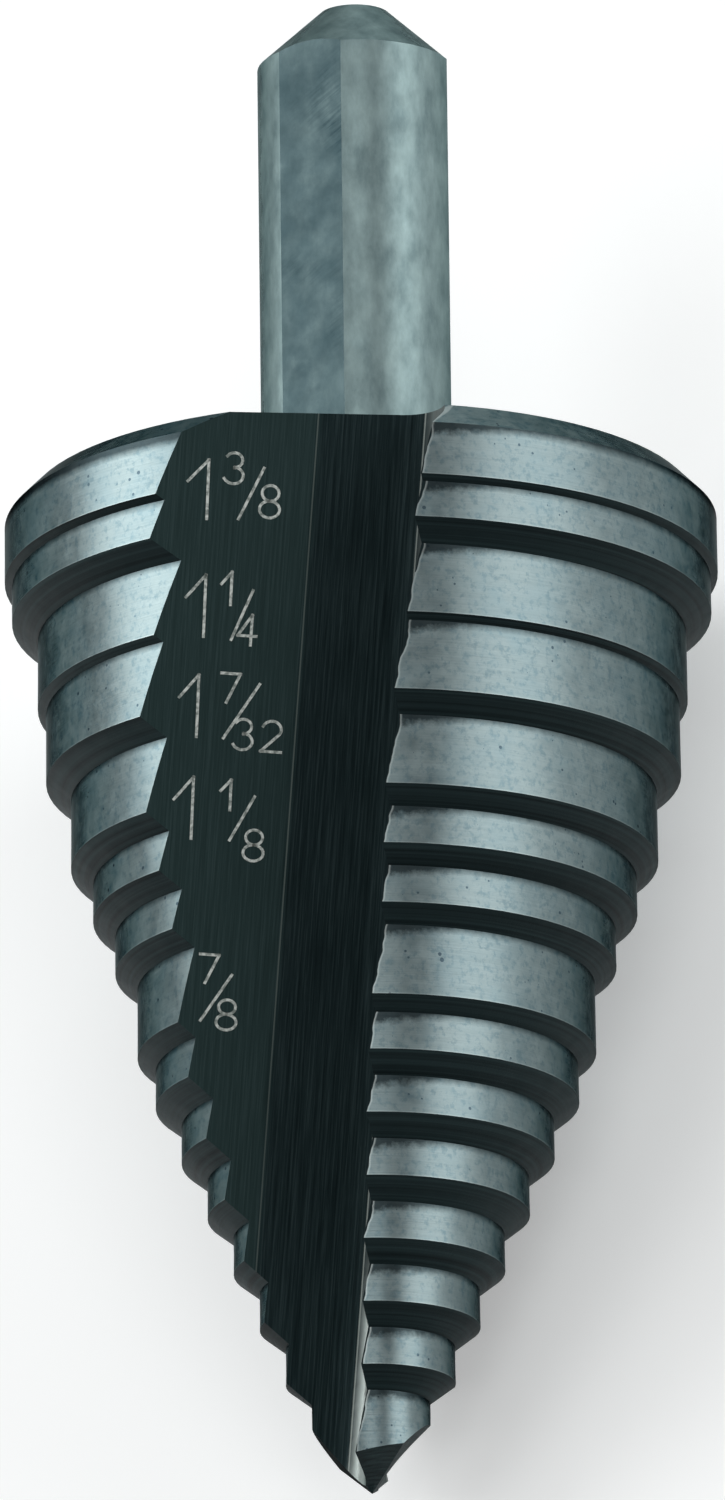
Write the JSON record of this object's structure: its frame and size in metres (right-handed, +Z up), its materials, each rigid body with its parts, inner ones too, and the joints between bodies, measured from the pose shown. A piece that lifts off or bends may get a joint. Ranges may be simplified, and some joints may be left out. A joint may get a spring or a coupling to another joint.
{
  "type": "step drill",
  "caption": "Stepped conical drill bit with relieved lands, two inclined flutes, a split point and a straight shank with flats for a drill chuck.",
  "frame": {"origin": "centre of the bounding box's base, on the ground the drill lies on", "axes": "+Z up; the drill lies on its rear flute with the point towards -Y and low and the shank towards +Y and raised; its axis lies in the YZ plane"},
  "size_m": [0.0346, 0.0724, 0.0332],
  "materials": {
    "hss": "steam-oxidised high-speed steel: satin ground lands, near-black oxide in the flutes and on the bevels"
  },
  "bodies": {
    "root": {"step_drill": "hss"}
  },
  "joints": []
}
